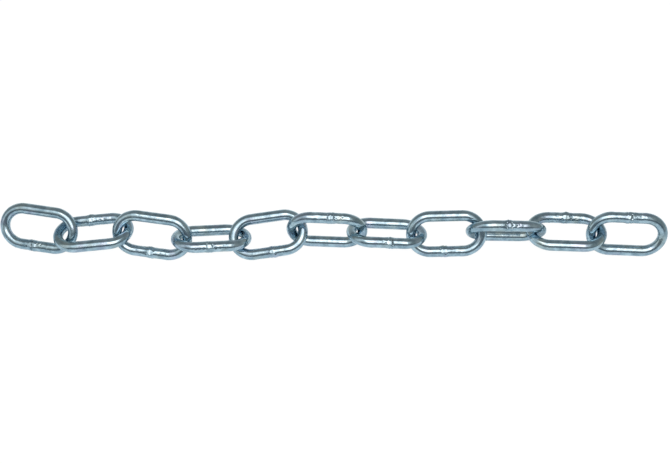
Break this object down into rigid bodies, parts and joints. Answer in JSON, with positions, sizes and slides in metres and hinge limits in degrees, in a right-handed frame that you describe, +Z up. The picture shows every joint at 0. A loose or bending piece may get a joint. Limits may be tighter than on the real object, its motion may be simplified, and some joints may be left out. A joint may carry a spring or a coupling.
{
  "type": "steel link chain",
  "caption": "Short run of interlinked, side-welded steel links with bright zinc plating, lying loose and nearly straight, each link hinged to the next.",
  "frame": {"origin": "on the floor, under the middle of the run's bounding box", "axes": "+X along the run from link_01 to link_11, +Y to the far side, +Z up from the floor"},
  "size_m": [0.3651, 0.03, 0.0263],
  "materials": {
    "bright_zinc": "bright zinc plated drawn steel wire, glossy, with a rough weld in one side of each link"
  },
  "bodies": {
    "link_01": {"link_01": "bright_zinc"},
    "link_02": {"link_02": "bright_zinc"},
    "link_03": {"link_03": "bright_zinc"},
    "link_04": {"link_04": "bright_zinc"},
    "link_05": {"link_05": "bright_zinc"},
    "link_06": {"link_06": "bright_zinc"},
    "link_07": {"link_07": "bright_zinc"},
    "link_08": {"link_08": "bright_zinc"},
    "link_09": {"link_09": "bright_zinc"},
    "link_10": {"link_10": "bright_zinc"},
    "link_11": {"link_11": "bright_zinc"}
  },
  "joints": [
    {"name": "pivot_01_02", "type": "hinge", "parent": "link_02", "child": "link_01", "pos_m": [-0.14422, -0.00324, 0.00651], "axis": [-0.6885, -0.4104, -0.5979], "range_deg": [-60, 7]},
    {"name": "pivot_02_03", "type": "hinge", "parent": "link_03", "child": "link_02", "pos_m": [-0.11699, 0.00108, 0.01356], "axis": [-0.2148, -0.5329, -0.8185], "range_deg": [-4, 60]},
    {"name": "pivot_03_04", "type": "hinge", "parent": "link_04", "child": "link_03", "pos_m": [-0.08495, -0.00436, 0.01093], "axis": [-0.1648, 0.901, -0.4013], "range_deg": [-60, 60]},
    {"name": "pivot_04_05", "type": "hinge", "parent": "link_05", "child": "link_04", "pos_m": [-0.04873, -0.00502, 0.00898], "axis": [0.5823, 0.7252, -0.3675], "range_deg": [-60, 0]},
    {"name": "pivot_05_06", "type": "hinge", "parent": "link_06", "child": "link_05", "pos_m": [-0.02207, 0.00135, 0.0149], "axis": [-0.1684, -0.0114, -0.9857], "range_deg": [-2, 60]},
    {"name": "pivot_06_07", "type": "hinge", "parent": "link_06", "child": "link_07", "pos_m": [0.01655, -0.00005, 0.01188], "axis": [-0.1183, -0.0132, -0.9929], "range_deg": [-60, 60]},
    {"name": "pivot_07_08", "type": "hinge", "parent": "link_07", "child": "link_08", "pos_m": [0.04921, 0.00063, 0.00985], "axis": [-0.087, 0.9433, -0.3202], "range_deg": [-60, 10]},
    {"name": "pivot_08_09", "type": "hinge", "parent": "link_08", "child": "link_09", "pos_m": [0.07561, -0.00052, 0.01453], "axis": [0.1277, -0.402, 0.9067], "range_deg": [-5, 60]},
    {"name": "pivot_09_10", "type": "hinge", "parent": "link_09", "child": "link_10", "pos_m": [0.11421, 0.00064, 0.01226], "axis": [0.0226, 0.4057, -0.9137], "range_deg": [-40, 25]},
    {"name": "pivot_10_11", "type": "hinge", "parent": "link_10", "child": "link_11", "pos_m": [0.14166, 0.00066, 0.01467], "axis": [0.3171, 0.3723, 0.8723], "range_deg": [-10, 60]}
  ]
}
